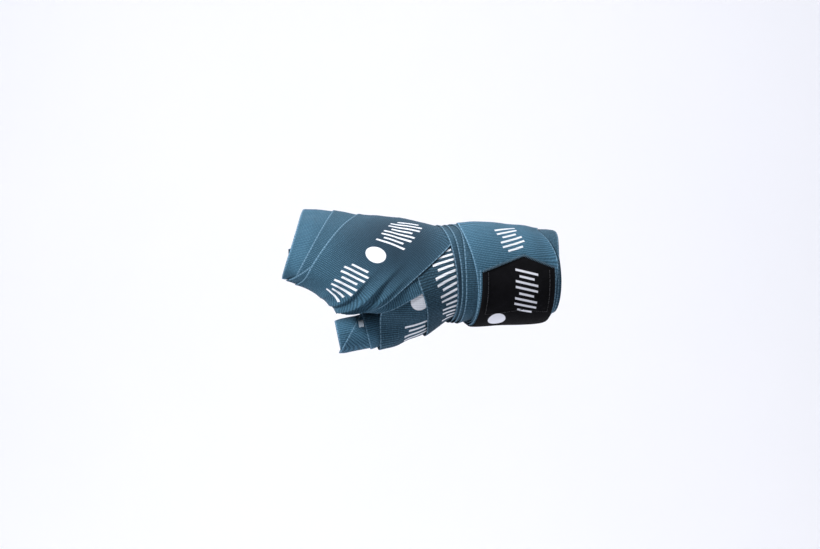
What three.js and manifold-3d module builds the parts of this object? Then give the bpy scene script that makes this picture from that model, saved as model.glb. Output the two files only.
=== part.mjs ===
// A boxing hand wrap as worn on a right hand: one long elastic strip, split here at each turn round the
// knuckles, thumb, heel of the hand and wrist, with its hook-and-loop closure on the wrist.
// Millimetres. Origin: on the forearm's axis, level with the near edge of the forearm opening. +X runs up
// the arm, +Z is up, -Y faces the back of the hand. The fingers and the thumb leave at -X, the thumb low.
import * as THREE from "three";
import * as BufferGeometryUtils from "three/addons/utils/BufferGeometryUtils.js";
import Module from "manifold-3d";

const wasm = await Module();
wasm.setup();

// Driving dimensions.
const STRIP_WIDTH = 50.8;
const CLOTH = 0.7; // thickness of one layer of the strip
const GAP = 0.3; // clearance between neighbouring layers
const STEP = CLOTH + GAP;
const OVERHANG = 12; // how far past its edge a turn still lifts the turns above it
const FINGER_END = -180; // X of the first section of the hand form
const ARM_END = 6; // X of the last section
const SECTIONS = 19;
const SIDES = 20;
const SLAB_REACH = 300; // size of the cutting blocks across the hand
const FOREARM_AXIS = new THREE.Vector3(0.96, 0.28, 0).normalize();
const TAB_MIDDLE = -33; // distance of the closure's middle along the forearm axis
const LANDING_WIDTH = 47;
const HOOK_WIDTH = 45;
const FACE_WIDTH = 48;
const TAB_APEX = [-21, 14]; // X and Z of the closure's point
const TAB_SLOPE = 0.39; // fall of its two top edges
const FOLD_ANGLE = THREE.MathUtils.degToRad(47); // how far below the near side the closure folds

// Colours of the cloth and of the closure.
const BLUE = 0x3e6479;
const DARK_BLUE = 0x2f4d60;
const PALE_BLUE = 0x8fb3cc;
const BLACK = 0x17171b;

// The hand form, section by section along X: where the section is centred, its half breadth and half
// thickness under the wraps, its roll in degrees, and how far the root of the thumb reaches down.
const FORM = [
  { x: -180, y: -22, z: 19.5, breadth: 29, thick: 11, roll: 50, thumb: 0 },
  { x: -160, y: -22, z: 17.5, breadth: 31, thick: 12, roll: 50, thumb: 0 },
  { x: -135, y: -22, z: 11.5, breadth: 36, thick: 13.5, roll: 46, thumb: 20 },
  { x: -126, y: -22, z: 8.5, breadth: 36, thick: 14, roll: 44, thumb: 38 },
  { x: -116, y: -22, z: 6.5, breadth: 35.5, thick: 15, roll: 42, thumb: 48 },
  { x: -100, y: -21.5, z: 4.5, breadth: 34.5, thick: 16, roll: 40, thumb: 42 },
  { x: -85, y: -20.5, z: 3, breadth: 32, thick: 17, roll: 38, thumb: 35 },
  { x: -66, y: -18.8, z: 1.5, breadth: 27, thick: 18, roll: 34, thumb: 25 },
  { x: -50, y: -14.6, z: 1, breadth: 27, thick: 19.5, roll: 32, thumb: 22 },
  { x: -25, y: -7.3, z: 0.5, breadth: 27, thick: 19.5, roll: 30, thumb: 20 },
  { x: 6, y: 1.75, z: 0, breadth: 27, thick: 20, roll: 30, thumb: 20 },
];

// A value of the form at X, eased between the two nearest sections.
function formValue(key, x) {
  const last = FORM.findIndex((section) => section.x >= x);
  if (last <= 0) return last === 0 ? FORM[0][key] : FORM[FORM.length - 1][key];
  const [a, b] = [FORM[last - 1], FORM[last]];
  const straight = (x - a.x) / (b.x - a.x);
  const eased = THREE.MathUtils.smoothstep(x, a.x, b.x);
  return THREE.MathUtils.lerp(a[key], b[key], (straight + eased) / 2);
}

// The point of the form at X and at an angle round the section, lifted by a height. The root of the thumb
// is narrower the higher its first power, and meets the palm in a tighter corner the higher its second.
const ROOT_NARROWNESS = 3;
const ROOT_BLEND = 4;
function formPoint(x, angle, height) {
  const roll = THREE.MathUtils.degToRad(formValue("roll", x));
  const across = new THREE.Vector3(0, Math.sin(roll), Math.cos(roll));
  const outward = new THREE.Vector3(0, -Math.cos(roll), Math.sin(roll));
  const arm = across
    .multiplyScalar(formValue("breadth", x) * Math.cos(angle))
    .addScaledVector(outward, formValue("thick", x) * Math.sin(angle));
  const plain = arm.length();
  arm.normalize();
  const root = formValue("thumb", x) * Math.max(0, -arm.z) ** ROOT_NARROWNESS;
  const reach = (plain ** ROOT_BLEND + root ** ROOT_BLEND) ** (1 / ROOT_BLEND) + height;
  return new THREE.Vector3(x, formValue("y", x), formValue("z", x)).addScaledVector(arm, reach);
}

const sectionX = (row) => THREE.MathUtils.lerp(FINGER_END, ARM_END, row / SECTIONS);
const sideAngle = (column) => ((column % SIDES) / SIDES) * 2 * Math.PI;

// Where each turn lies on the hand: the middle of its band, the direction the band faces along and its
// width. Listed from the skin outwards.
const along = (x, y, z) => new THREE.Vector3(x, y, z).normalize();
const at = (x, y, z) => new THREE.Vector3(x, y, z);
const onWrist = (distance) => FOREARM_AXIS.clone().multiplyScalar(distance);
const HAND_TURNS = [
  { name: "inner_palm_turns", middle: at(-128, -22, 10), facing: along(1, 0, -0.15), width: 56 },
  { name: "inner_wrist_turns", middle: onWrist(-32), facing: FOREARM_AXIS, width: 58 },
  { name: "knuckle_turn_1", middle: at(-141, -22, 10.5), facing: along(0.959, 0, -0.282), width: STRIP_WIDTH },
  { name: "knuckle_turn_2", middle: at(-132, -22, 7), facing: along(0.89, 0, -0.456), width: STRIP_WIDTH },
  { name: "heel_turn", middle: at(-86, -22, -10), facing: along(0.985, 0.17, 0.05), width: STRIP_WIDTH },
  { name: "web_pass_1", middle: at(-117, -22, 2), facing: along(0.62, 0, -0.78), width: STRIP_WIDTH },
  { name: "cross_turn", middle: at(-61.5, -20, -8), facing: along(0.95, 0.2, 0.16), width: STRIP_WIDTH },
  { name: "web_pass_2", middle: at(-113.5, -22, 13), facing: along(0.75, 0, -0.66), width: STRIP_WIDTH },
  { name: "wrist_turn_1", middle: onWrist(-30.2), facing: FOREARM_AXIS, width: STRIP_WIDTH },
  { name: "wrist_turn_2", middle: onWrist(-46.5), facing: along(0.96, 0.29, 0.06), width: STRIP_WIDTH },
  { name: "wrist_turn_3", middle: onWrist(-43.5), facing: along(0.96, 0.28, 0.03), width: STRIP_WIDTH },
  { name: "wrist_turn_4", middle: onWrist(-41), facing: along(0.96, 0.27, 0.04), width: STRIP_WIDTH },
  { name: "wrist_turn_5", middle: onWrist(TAB_MIDDLE), facing: FOREARM_AXIS, width: STRIP_WIDTH },
  { name: "loop_landing", middle: onWrist(TAB_MIDDLE), facing: FOREARM_AXIS, width: LANDING_WIDTH },
  { name: "hook_panel", middle: onWrist(TAB_MIDDLE), facing: FOREARM_AXIS, width: HOOK_WIDTH },
  { name: "strip_end", middle: onWrist(TAB_MIDDLE), facing: FOREARM_AXIS, width: STRIP_WIDTH },
  { name: "loop_face", middle: onWrist(TAB_MIDDLE), facing: FOREARM_AXIS, width: FACE_WIDTH },
];
const turnIndex = (name) => HAND_TURNS.findIndex((turn) => turn.name === name);

// The height of a turn over the form at each grid point: one step over the highest turn beneath it.
const heights = HAND_TURNS.map(() => new Map());
function covers(turn, row, column) {
  const offset = formPoint(sectionX(row), sideAngle(column), 0).sub(turn.middle).dot(turn.facing);
  return Math.abs(offset) < turn.width / 2 + OVERHANG;
}
function heightOf(index, row, column) {
  const key = row * SIDES + (column % SIDES);
  if (!heights[index].has(key)) {
    let height = 0;
    for (let lower = 0; lower < index; lower++) {
      if (covers(HAND_TURNS[lower], row, column)) {
        height = Math.max(height, heightOf(lower, row, column) + STEP);
      }
    }
    heights[index].set(key, height);
  }
  return heights[index].get(key);
}

// A solid for cutting and joining, from a closed three.js geometry.
const SAME_POINT = 1e-4;
function solid(geometry) {
  const bare = geometry.clone();
  bare.deleteAttribute("normal");
  bare.deleteAttribute("uv");
  const merged = BufferGeometryUtils.mergeVertices(bare, SAME_POINT);
  return new wasm.Manifold(
    new wasm.Mesh({
      numProp: 3,
      vertProperties: new Float32Array(merged.attributes.position.array),
      triVerts: new Uint32Array(merged.index.array),
    }),
  );
}

// The largest body of a solid: trims the loose slivers that a cut leaves.
function largest(body) {
  return body.decompose().sort((a, b) => b.volume() - a.volume())[0];
}

function geometryOf(body) {
  const { vertProperties, triVerts, numProp } = body.getMesh();
  const geometry = new THREE.BufferGeometry();
  const corners = new THREE.InterleavedBuffer(vertProperties, numProp);
  geometry.setAttribute("position", new THREE.InterleavedBufferAttribute(corners, 3, 0));
  geometry.setIndex(new THREE.BufferAttribute(triVerts, 1));
  geometry.computeVertexNormals();
  return geometry;
}

function material(color, roughness = 0.9) {
  return new THREE.MeshStandardMaterial({ color, roughness, metalness: 0 });
}

const wrap = new THREE.Group();
function addPiece(name, body, color, roughness) {
  const piece = new THREE.Mesh(geometryOf(body), material(color, roughness));
  piece.name = name;
  wrap.add(piece);
}

// The hand filled out to the height of one turn plus a lift: a lathed drum whose every point is then moved
// onto the hand form. Points on the lathe's axis go to the middle of their section.
const LATHE_RADIUS = 1;
function filledHand(index, lift) {
  const profile = [new THREE.Vector2(0, 0)];
  for (let row = 0; row <= SECTIONS; row++) profile.push(new THREE.Vector2(LATHE_RADIUS, row));
  profile.push(new THREE.Vector2(0, SECTIONS));
  const drum = new THREE.LatheGeometry(profile, SIDES);
  const place = drum.attributes.position;
  for (let i = 0; i < place.count; i++) {
    const row = Math.round(place.getY(i));
    const x = sectionX(row);
    const turned = Math.atan2(place.getX(i), place.getZ(i));
    const column = Math.round((turned / (2 * Math.PI)) * SIDES + SIDES) % SIDES;
    const onAxis = Math.hypot(place.getX(i), place.getZ(i)) < LATHE_RADIUS / 2;
    const point = onAxis
      ? new THREE.Vector3(x, formValue("y", x), formValue("z", x))
      : formPoint(x, sideAngle(column), heightOf(index, row, column) + lift);
    place.setXYZ(i, point.x, point.y, point.z);
  }
  return solid(drum);
}

// A block that keeps only a band of the given width.
function band(middle, facing, width) {
  const block = new THREE.BoxGeometry(width, SLAB_REACH, SLAB_REACH);
  block.applyQuaternion(new THREE.Quaternion().setFromUnitVectors(new THREE.Vector3(1, 0, 0), facing));
  block.translate(middle.x, middle.y, middle.z);
  return solid(block);
}

// A block between two corners.
function box(low, high) {
  const block = new THREE.BoxGeometry(high[0] - low[0], high[1] - low[1], high[2] - low[2]);
  block.translate((low[0] + high[0]) / 2, (low[1] + high[1]) / 2, (low[2] + high[2]) / 2);
  return solid(block);
}

function turnBody(name) {
  const turn = HAND_TURNS[turnIndex(name)];
  const index = turnIndex(name);
  const sleeve = filledHand(index, CLOTH).subtract(filledHand(index, 0));
  return sleeve.intersect(band(turn.middle, turn.facing, turn.width));
}

// The thumb: its axis from the opening back to its root, and the taper of the sleeve round it.
const THUMB_OPENING = at(-137, -25, -37.8);
const THUMB_AXIS = along(0.975, 0.05, 0.2);
const THUMB_RADIUS = 8.4;
const THUMB_TAPER = 0.012;
const THUMB_LENGTH = 34;
const THUMB_SIDES = 20;
const THUMB_ROWS = 5;

// A tapered sleeve on the thumb from one height over the skin to another, or a solid cone if hollow is null.
function thumbSleeve(hollow, outer) {
  const profile = [];
  for (let row = 0; row <= THUMB_ROWS; row++) {
    const distance = (row / THUMB_ROWS) * THUMB_LENGTH;
    profile.push(new THREE.Vector2(THUMB_RADIUS + outer + distance * THUMB_TAPER, distance));
  }
  if (hollow === null) {
    profile.unshift(new THREE.Vector2(0, 0));
    profile.push(new THREE.Vector2(0, THUMB_LENGTH));
  } else {
    for (let row = THUMB_ROWS; row >= 0; row--) {
      const distance = (row / THUMB_ROWS) * THUMB_LENGTH;
      profile.push(new THREE.Vector2(THUMB_RADIUS + hollow + distance * THUMB_TAPER, distance));
    }
    profile.push(profile[0].clone());
  }
  const ring = new THREE.LatheGeometry(profile, THUMB_SIDES);
  ring.applyQuaternion(new THREE.Quaternion().setFromUnitVectors(new THREE.Vector3(0, 1, 0), THUMB_AXIS));
  ring.translate(THUMB_OPENING.x, THUMB_OPENING.y, THUMB_OPENING.z);
  return solid(ring);
}

// Turns on the thumb, from the sewn start loop outwards: distance from the opening to the band's middle,
// its width, and the slope of its edges.
const THUMB_TURNS = [
  { name: "thumb_loop", distance: 11, width: 16, slope: 0 },
  { name: "thumb_turn_1", distance: 20, width: 40, slope: 0 },
  { name: "thumb_turn_2", distance: 31, width: 40, slope: -0.42 },
  { name: "thumb_turn_3", distance: 38, width: 40, slope: 0.05 },
];

// The hand's turns. Those that pass the thumb are cut away round it; the heel turn runs over its root.
const heel = HAND_TURNS[turnIndex("heel_turn")];
const heelSide = heel.middle.clone().addScaledVector(heel.facing, SLAB_REACH / 2 - STRIP_WIDTH / 2 - GAP);
const behindHeelEdge = band(heelSide, heel.facing, SLAB_REACH);
const thumbSpace = thumbSleeve(null, (THUMB_TURNS.length - 1) * STEP + CLOTH + GAP);
const thumbWay = thumbSpace.subtract(behindHeelEdge);
const PASSES_THUMB = ["inner_palm_turns", "knuckle_turn_1", "knuckle_turn_2", "web_pass_1", "web_pass_2"];
const WRAP_TURNS = HAND_TURNS.slice(0, turnIndex("wrist_turn_5") + 1);
for (const { name } of WRAP_TURNS) {
  const whole = turnBody(name);
  const body = PASSES_THUMB.includes(name) ? largest(whole.subtract(thumbWay)) : whole;
  addPiece(name, body, name.startsWith("inner") ? DARK_BLUE : BLUE);
}

THUMB_TURNS.forEach(({ name, distance, width, slope }, level) => {
  const middle = THUMB_OPENING.clone().addScaledVector(THUMB_AXIS, distance);
  const facing = THUMB_AXIS.clone().add(new THREE.Vector3(0, 0, slope)).normalize();
  const ring = thumbSleeve(level * STEP, level * STEP + CLOTH).intersect(band(middle, facing, width));
  addPiece(name, largest(ring.subtract(behindHeelEdge)), name === "thumb_loop" ? DARK_BLUE : BLUE);
});

// The finger passes: the strip bunched to a narrow band where it runs between two fingers, from just
// under the knuckle turn on the back of the hand to just over it on the palm.
const PASS_WIDTH = 8;
const PASS_STEPS = 8;
const PASS_SHARES = [0.34, 0.5, 0.66]; // how far across the knuckles each pass lies, from the little finger
const PASS_INSET = -2.2; // how far inside the form its ends lie
const PASS_BEHIND_EDGE = 2.5; // how far behind the finger edge of the wrap it runs
const knuckle = HAND_TURNS[turnIndex("knuckle_turn_1")];
const passSection = new THREE.Shape();
passSection.moveTo(-PASS_WIDTH / 2, -CLOTH);
passSection.lineTo(PASS_WIDTH / 2, -CLOTH);
passSection.lineTo(PASS_WIDTH / 2, CLOTH);
passSection.lineTo(-PASS_WIDTH / 2, CLOTH);
passSection.closePath();
PASS_SHARES.forEach((share, i) => {
  const z = formPoint(FINGER_END, share * Math.PI, 0).z;
  const edge = knuckle.middle.x - (STRIP_WIDTH / 2 + knuckle.facing.z * (z - knuckle.middle.z)) / knuckle.facing.x;
  const back = formPoint(edge + PASS_BEHIND_EDGE, share * Math.PI, PASS_INSET);
  const palm = formPoint(edge + PASS_BEHIND_EDGE, -share * Math.PI, PASS_INSET);
  const front = back.clone().lerp(palm, 0.5).add(new THREE.Vector3(-PASS_BEHIND_EDGE / 2, 0, 0));
  const route = new THREE.QuadraticBezierCurve3(back, front, palm);
  const strap = new THREE.ExtrudeGeometry(passSection, { steps: PASS_STEPS, extrudePath: route });
  addPiece(`finger_pass_${i + 1}`, solid(strap), BLUE);
});

// The closure. Its free end, above the fold plane, peels; below the plane it is part of the wrap. The fold
// plane runs through the wrist's axis, so that the free end lifts square off the wrist.
const CLOSURE_BACK = -9; // Y of the wrist's middle under the closure
const FAR = 90;
const TAIL_TOP = -18; // how high the tail reaches behind the wrist
const LANDING_INSET = 3; // how far the landing patch stays below the tab's pointed edge
const foldFacing = new THREE.Vector3(
  FOREARM_AXIS.y * Math.sin(FOLD_ANGLE),
  -FOREARM_AXIS.x * Math.sin(FOLD_ANGLE),
  Math.cos(FOLD_ANGLE),
);
const aboveFold = band(foldFacing.clone().multiplyScalar((FAR + GAP) / 2), foldFacing, FAR);
const belowFold = band(foldFacing.clone().multiplyScalar(-(FAR + GAP) / 2), foldFacing, FAR);
const tabOutline = new THREE.Shape();
tabOutline.moveTo(TAB_APEX[0], TAB_APEX[1]);
tabOutline.lineTo(TAB_APEX[0] + FAR, TAB_APEX[1] - FAR * TAB_SLOPE);
tabOutline.lineTo(TAB_APEX[0] + FAR, -FAR);
tabOutline.lineTo(TAB_APEX[0] - FAR, -FAR);
tabOutline.lineTo(TAB_APEX[0] - FAR, TAB_APEX[1] - FAR * TAB_SLOPE);
tabOutline.closePath();
const tabPrism = new THREE.ExtrudeGeometry(tabOutline, { depth: FAR, bevelEnabled: false });
tabPrism.rotateX(Math.PI / 2);
tabPrism.translate(0, CLOSURE_BACK, 0);
const tabFront = solid(tabPrism);
const tabRegion = tabFront.intersect(aboveFold);
const tailRegion = box([-FAR, -FAR, -FAR], [FAR, FAR, TAIL_TOP]).intersect(belowFold);
const landingRegion = tabFront.translate([0, 0, -LANDING_INSET]);

addPiece("loop_landing", turnBody("loop_landing").intersect(landingRegion), BLACK, 1);
addPiece("hook_panel", turnBody("hook_panel").intersect(tabRegion), BLACK, 0.7);
addPiece("flap_strip_end", turnBody("strip_end").intersect(tabRegion), BLUE);
addPiece("flap_loop_face", turnBody("loop_face").intersect(tabRegion), BLACK, 1);
addPiece("closing_tail", turnBody("strip_end").intersect(tailRegion), BLUE);
addPiece("tail_loop_face", turnBody("loop_face").intersect(tailRegion), BLACK, 1);

// Height over the form of the closure's outer face at X and an angle: the highest grid point beside it.
function faceHeight(x, angle) {
  const place = ((x - FINGER_END) / (ARM_END - FINGER_END)) * SECTIONS;
  const side = (angle / (2 * Math.PI)) * SIDES;
  let height = 0;
  for (const row of [Math.floor(place), Math.ceil(place)]) {
    for (const column of [Math.floor(side), Math.ceil(side)]) {
      height = Math.max(height, heightOf(turnIndex("loop_face"), row, column));
    }
  }
  return height + CLOTH + GAP;
}

// The point over the closure's face at X and Z, lifted by a height: halves the angle until Z is met.
const LOW_ANGLE = Math.PI * 1.12; // angle round the section that is lowest
const HIGH_ANGLE = Math.PI * 0.22; // angle round the section that is highest
const HALVINGS = 24;
function facePoint(x, z, lift) {
  let [low, high] = [LOW_ANGLE, HIGH_ANGLE];
  let point;
  for (let i = 0; i < HALVINGS; i++) {
    const angle = (low + high) / 2;
    point = formPoint(x, angle, faceHeight(x, angle) + lift);
    if (point.z < z) low = angle;
    else high = angle;
  }
  return point;
}

// The point over the closure's face at a distance along the forearm and at Z, lifted by a height.
const SETTLING = 5;
function onFace(distance, z, lift) {
  let x = distance / FOREARM_AXIS.x;
  let point;
  for (let i = 0; i < SETTLING; i++) {
    point = facePoint(x, z, lift);
    x = (distance - FOREARM_AXIS.y * point.y) / FOREARM_AXIS.x;
  }
  return point;
}

// A round thread bead along points on the closure's face.
const BEAD_SIDES = 6;
function bead(points, radius) {
  const section = new THREE.Shape();
  for (let i = 0; i < BEAD_SIDES; i++) {
    const turn = (i / BEAD_SIDES) * 2 * Math.PI;
    if (i === 0) section.moveTo(radius, 0);
    else section.lineTo(radius * Math.cos(turn), radius * Math.sin(turn));
  }
  section.closePath();
  const route = new THREE.CurvePath();
  for (let i = 1; i < points.length; i++) route.add(new THREE.LineCurve3(points[i - 1], points[i]));
  return solid(new THREE.ExtrudeGeometry(section, { steps: points.length * 2, extrudePath: route }));
}

// The height of the tab's pointed edge at X.
const tabTop = (x) => TAB_APEX[1] - TAB_SLOPE * Math.abs(x - TAB_APEX[0]);
const OVERLOCK_RADIUS = 0.6;
const OVERLOCK_INSET = 1.5; // from the cut edge
const OVERLOCK_HALF = 21.5; // how far it runs to each side of the tab's middle
const OVERLOCK_POINTS = 13;
const overlock = [];
for (let i = 0; i < OVERLOCK_POINTS; i++) {
  const distance = TAB_MIDDLE - OVERLOCK_HALF + (i / (OVERLOCK_POINTS - 1)) * 2 * OVERLOCK_HALF;
  const x = onFace(distance, 0, 0).x;
  overlock.push(onFace(distance, tabTop(x) - OVERLOCK_INSET, OVERLOCK_RADIUS));
}
addPiece("overlock_edge", bead(overlock, OVERLOCK_RADIUS), PALE_BLUE, 0.8);

// The stitch row that holds the hook panel: down one side, along the fold line and up the other side.
const STITCH_RADIUS = 0.35;
const STITCH_HALF = 19;
const STITCH_TOP = -1;
const STITCH_BOTTOM = -20;
const STITCH_POINTS = 7;
const stitches = [];
for (let i = 0; i < STITCH_POINTS; i++) {
  const z = THREE.MathUtils.lerp(STITCH_TOP, STITCH_BOTTOM, i / STITCH_POINTS);
  stitches.push(onFace(TAB_MIDDLE - STITCH_HALF, z, STITCH_RADIUS));
}
for (let i = 0; i < STITCH_POINTS; i++) {
  const distance = TAB_MIDDLE - STITCH_HALF + (i / STITCH_POINTS) * 2 * STITCH_HALF;
  stitches.push(onFace(distance, STITCH_BOTTOM, STITCH_RADIUS));
}
for (let i = 0; i <= STITCH_POINTS; i++) {
  const z = THREE.MathUtils.lerp(STITCH_BOTTOM, STITCH_TOP, i / STITCH_POINTS);
  stitches.push(onFace(TAB_MIDDLE + STITCH_HALF, z, STITCH_RADIUS));
}
addPiece("panel_stitching", bead(stitches, STITCH_RADIUS), PALE_BLUE, 0.8);

// The bar tack on the sewn end of the thumb loop, on the near side of the thumb over its second turn.
const TACK_DISTANCE = 16;
const TACK_LEVEL = 2;
const TACK_SIZE = [4, 1, 5];
const TACK_TURN = 0.33; // radians below the thumb's near side
const tackRadius = THUMB_RADIUS + TACK_DISTANCE * THUMB_TAPER + TACK_LEVEL * STEP + CLOTH + GAP;
const tackMiddle = THUMB_OPENING.clone().addScaledVector(THUMB_AXIS, TACK_DISTANCE);
const tack = new THREE.BoxGeometry(...TACK_SIZE);
tack.translate(0, -tackRadius - TACK_SIZE[1] / 2, 0);
tack.rotateX(TACK_TURN);
tack.translate(tackMiddle.x, tackMiddle.y, tackMiddle.z);
addPiece("thumb_loop_tack", solid(tack), PALE_BLUE);

export default wrap;
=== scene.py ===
"""A worn boxing hand wrap: ribbed elastic strip turned round the knuckles, thumb, heel of the hand and
wrist, closed by a black hook-and-loop tab. Lengths are in millimetres until a mesh is made."""
import math

import bmesh
import bpy
import numpy as np
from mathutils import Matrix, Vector


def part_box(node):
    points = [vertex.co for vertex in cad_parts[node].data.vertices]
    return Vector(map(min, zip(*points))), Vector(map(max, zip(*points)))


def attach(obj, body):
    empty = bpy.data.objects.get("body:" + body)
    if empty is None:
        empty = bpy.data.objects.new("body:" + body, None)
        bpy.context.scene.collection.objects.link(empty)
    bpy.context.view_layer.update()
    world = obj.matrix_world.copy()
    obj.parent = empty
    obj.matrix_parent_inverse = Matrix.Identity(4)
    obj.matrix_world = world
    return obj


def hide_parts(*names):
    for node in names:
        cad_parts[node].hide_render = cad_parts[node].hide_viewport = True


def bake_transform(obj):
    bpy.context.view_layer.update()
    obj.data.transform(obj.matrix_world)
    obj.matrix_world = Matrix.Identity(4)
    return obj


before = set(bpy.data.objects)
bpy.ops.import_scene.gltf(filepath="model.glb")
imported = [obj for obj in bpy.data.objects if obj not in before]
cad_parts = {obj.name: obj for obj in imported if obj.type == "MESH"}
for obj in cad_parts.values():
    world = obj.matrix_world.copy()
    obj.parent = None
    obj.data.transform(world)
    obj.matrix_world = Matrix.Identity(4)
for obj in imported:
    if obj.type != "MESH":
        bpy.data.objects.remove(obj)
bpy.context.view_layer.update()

MM = 0.001
STRIP_WIDTH = 50.8
CLOTH = 0.62  # thickness of one layer
LAYER = 0.72  # from one layer to the next
WRIST_AXIS = np.array([0.96, 0.28, 0.0])  # along the forearm, away from the hand
TAB_MIDDLE = -33.0  # of the closure along the forearm's axis
TAB_APEX = (-21.0, 14.0)  # X and Z of the closure's point
TAB_SLOPE = 0.39  # fall of its edges on each side of the point
FOLD_ANGLE = math.radians(47)  # of the closure's fold plane below the near side
RIB_PITCH = 1.3  # of the ribs across the strip
rng = np.random.default_rng(7)

# ---------------------------------------------------------------- the hand form under the cloth

SIDES = 288  # steps round a form
ANGLES = np.arange(SIDES) / SIDES * 2 * math.pi
HAND_X = np.arange(-186.0, 10.01, 1.0)
# X, then the section's centre Y and Z, its half breadth and half thickness, and its roll in degrees.
SECTIONS = np.array(
    [
        (-186, -22, 21.5, 29.5, 11.0, 50),
        (-160, -22, 19.5, 31.5, 12.0, 50),
        (-135, -22, 12.5, 36, 13.5, 46),
        (-116, -22, 6.5, 35.5, 15.0, 42),
        (-100, -21.5, 4.5, 34.5, 16.0, 40),
        (-85, -20.5, 3, 32, 17.0, 38),
        (-68, -18.8, 2.3, 27, 18.0, 34),
        (-50, -14.6, 3.4, 27, 19.5, 32),
        (-25, -7.3, 2.6, 27, 19.5, 30),
        (10, 2.9, 2.8, 27, 20.0, 30),
    ]
)
# X and how far the root of the thumb reaches down from the section's centre.
THUMB_ROOT = np.array(
    [
        (-146, 0),
        (-138, 8),
        (-130, 18),
        (-121, 27),
        (-113, 46),
        (-104, 45),
        (-96, 42),
        (-85, 38),
        (-68, 20),
        (-50, 0),
        (10, 0),
    ]
)
ROOT_SOFTNESS = 2.5
WEB_X = -128  # middle of the web between the thumb and the first finger
WEB_LONG = 6
WEB_RISE = 7
WEB_RISE_ANGLE = 207  # where the web stands highest, in degrees round the hand
WEB_RISE_SPREAD = 14
KNUCKLES = (0.24, 0.42, 0.58, 0.75)  # as shares of half a circle
KNUCKLE_SPREAD = 0.055
KNUCKLE_ROWS = ((1.1, -156, 9), (0.5, -132, 18))  # height, X and length of the knuckles and of the tendons
HAND_ROUGHNESS = 0.25  # height of the uneven skin under the cloth
THUMB_OVAL = 0.035  # share by which the thumb's radius varies
THUMB_ROUGHNESS = 0.12
FORM_END = 3.0  # how far the thumb's form begins before its opening


def eased(table, column, x, softness=4.0):
    """A column of a table at every X, with its corners rounded off. softness is in steps of X."""
    fine = np.interp(x, table[:, 0], table[:, column])
    reach = int(softness * 3)
    weights = np.exp(-0.5 * (np.arange(-reach, reach + 1) / softness) ** 2)
    padded = np.concatenate([np.full(reach, fine[0]), fine, np.full(reach, fine[-1])])
    return np.convolve(padded, weights / weights.sum(), mode="valid")


def blur(field, along, around):
    """A soft blur of a field over stations and angles, which closes on itself round the angles."""
    out = field
    for axis, sigma in ((0, along), (1, around)):
        reach = max(1, int(sigma * 2.5))
        weights = np.exp(-0.5 * (np.arange(-reach, reach + 1) / sigma) ** 2)
        weights /= weights.sum()
        if axis == 0:
            wide = np.pad(out, ((reach, reach), (0, 0)), mode="edge")
            out = sum(w * wide[i : i + field.shape[0]] for i, w in enumerate(weights))
        else:
            out = sum(w * np.roll(out, i - reach, axis=1) for i, w in enumerate(weights))
    return out


def grown(field, reach):
    """The highest value within a few stations and angles."""
    out = field
    for shift in range(-reach, reach + 1):
        out = np.maximum(out, np.roll(field, shift, axis=1))
    wide = np.pad(out, ((reach, reach), (0, 0)), mode="edge")
    return np.max([wide[i : i + field.shape[0]] for i in range(2 * reach + 1)], axis=0)


def noise(shape, along, around):
    """Seeded smooth noise between about -1 and 1."""
    field = blur(rng.standard_normal(shape), along, around)
    return field / (2.2 * field.std())


def bulge(angle, spread, amount):
    """A drift along the form that is strongest at one angle (in degrees) and fades both ways."""
    away = (np.degrees(ANGLES) - angle + 180) % 360 - 180
    return amount * np.exp(-((away / spread) ** 2))


class Form:
    """A limb as stations along it and angles round it. top is how high the cloth on it has built up."""

    def __init__(self, stations, centres, directions, reach):
        self.stations = stations
        self.centres = centres
        self.directions = directions
        self.reach = reach
        self.top = np.zeros(reach.shape)

    def points(self, height):
        return self.centres[:, None, :] + self.directions * (self.reach + height)[:, :, None]


def hand_form():
    """The hand from the knuckles to the forearm, with the root of the thumb, the web and the knuckles."""
    y, z, breadth, thick = (eased(SECTIONS, column, HAND_X)[:, None] for column in (1, 2, 3, 4))
    roll = np.radians(eased(SECTIONS, 5, HAND_X))[:, None]
    cos, sin = np.cos(ANGLES)[None, :], np.sin(ANGLES)[None, :]
    side = breadth * cos * np.sin(roll) - thick * sin * np.cos(roll)
    up = breadth * cos * np.cos(roll) + thick * sin * np.sin(roll)
    reach = np.hypot(side, up)
    directions = np.stack([np.zeros_like(side), side / reach, up / reach], axis=2)
    centres = np.stack([HAND_X, y[:, 0], z[:, 0]], axis=1)
    form = Form(HAND_X, centres, directions, reach)
    root = eased(THUMB_ROOT, 1, HAND_X, ROOT_SOFTNESS)[:, None] * np.maximum(0, -directions[:, :, 2]) ** 3
    form.top += (reach**4 + root**4) ** 0.25 - reach
    web = np.exp(-(((HAND_X - WEB_X) / WEB_LONG) ** 2))[:, None]
    form.top += WEB_RISE * web * bulge(WEB_RISE_ANGLE, WEB_RISE_SPREAD, 1.0)[None, :]
    for knuckle in KNUCKLES:
        bump = np.exp(-(((ANGLES / math.pi - knuckle) / KNUCKLE_SPREAD) ** 2))[None, :]
        for height, x, length in KNUCKLE_ROWS:
            form.top += height * bump * np.exp(-(((HAND_X - x) / length) ** 2))[:, None]
    form.top += HAND_ROUGHNESS * (1 + noise(reach.shape, 6, 8))
    return form


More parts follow.
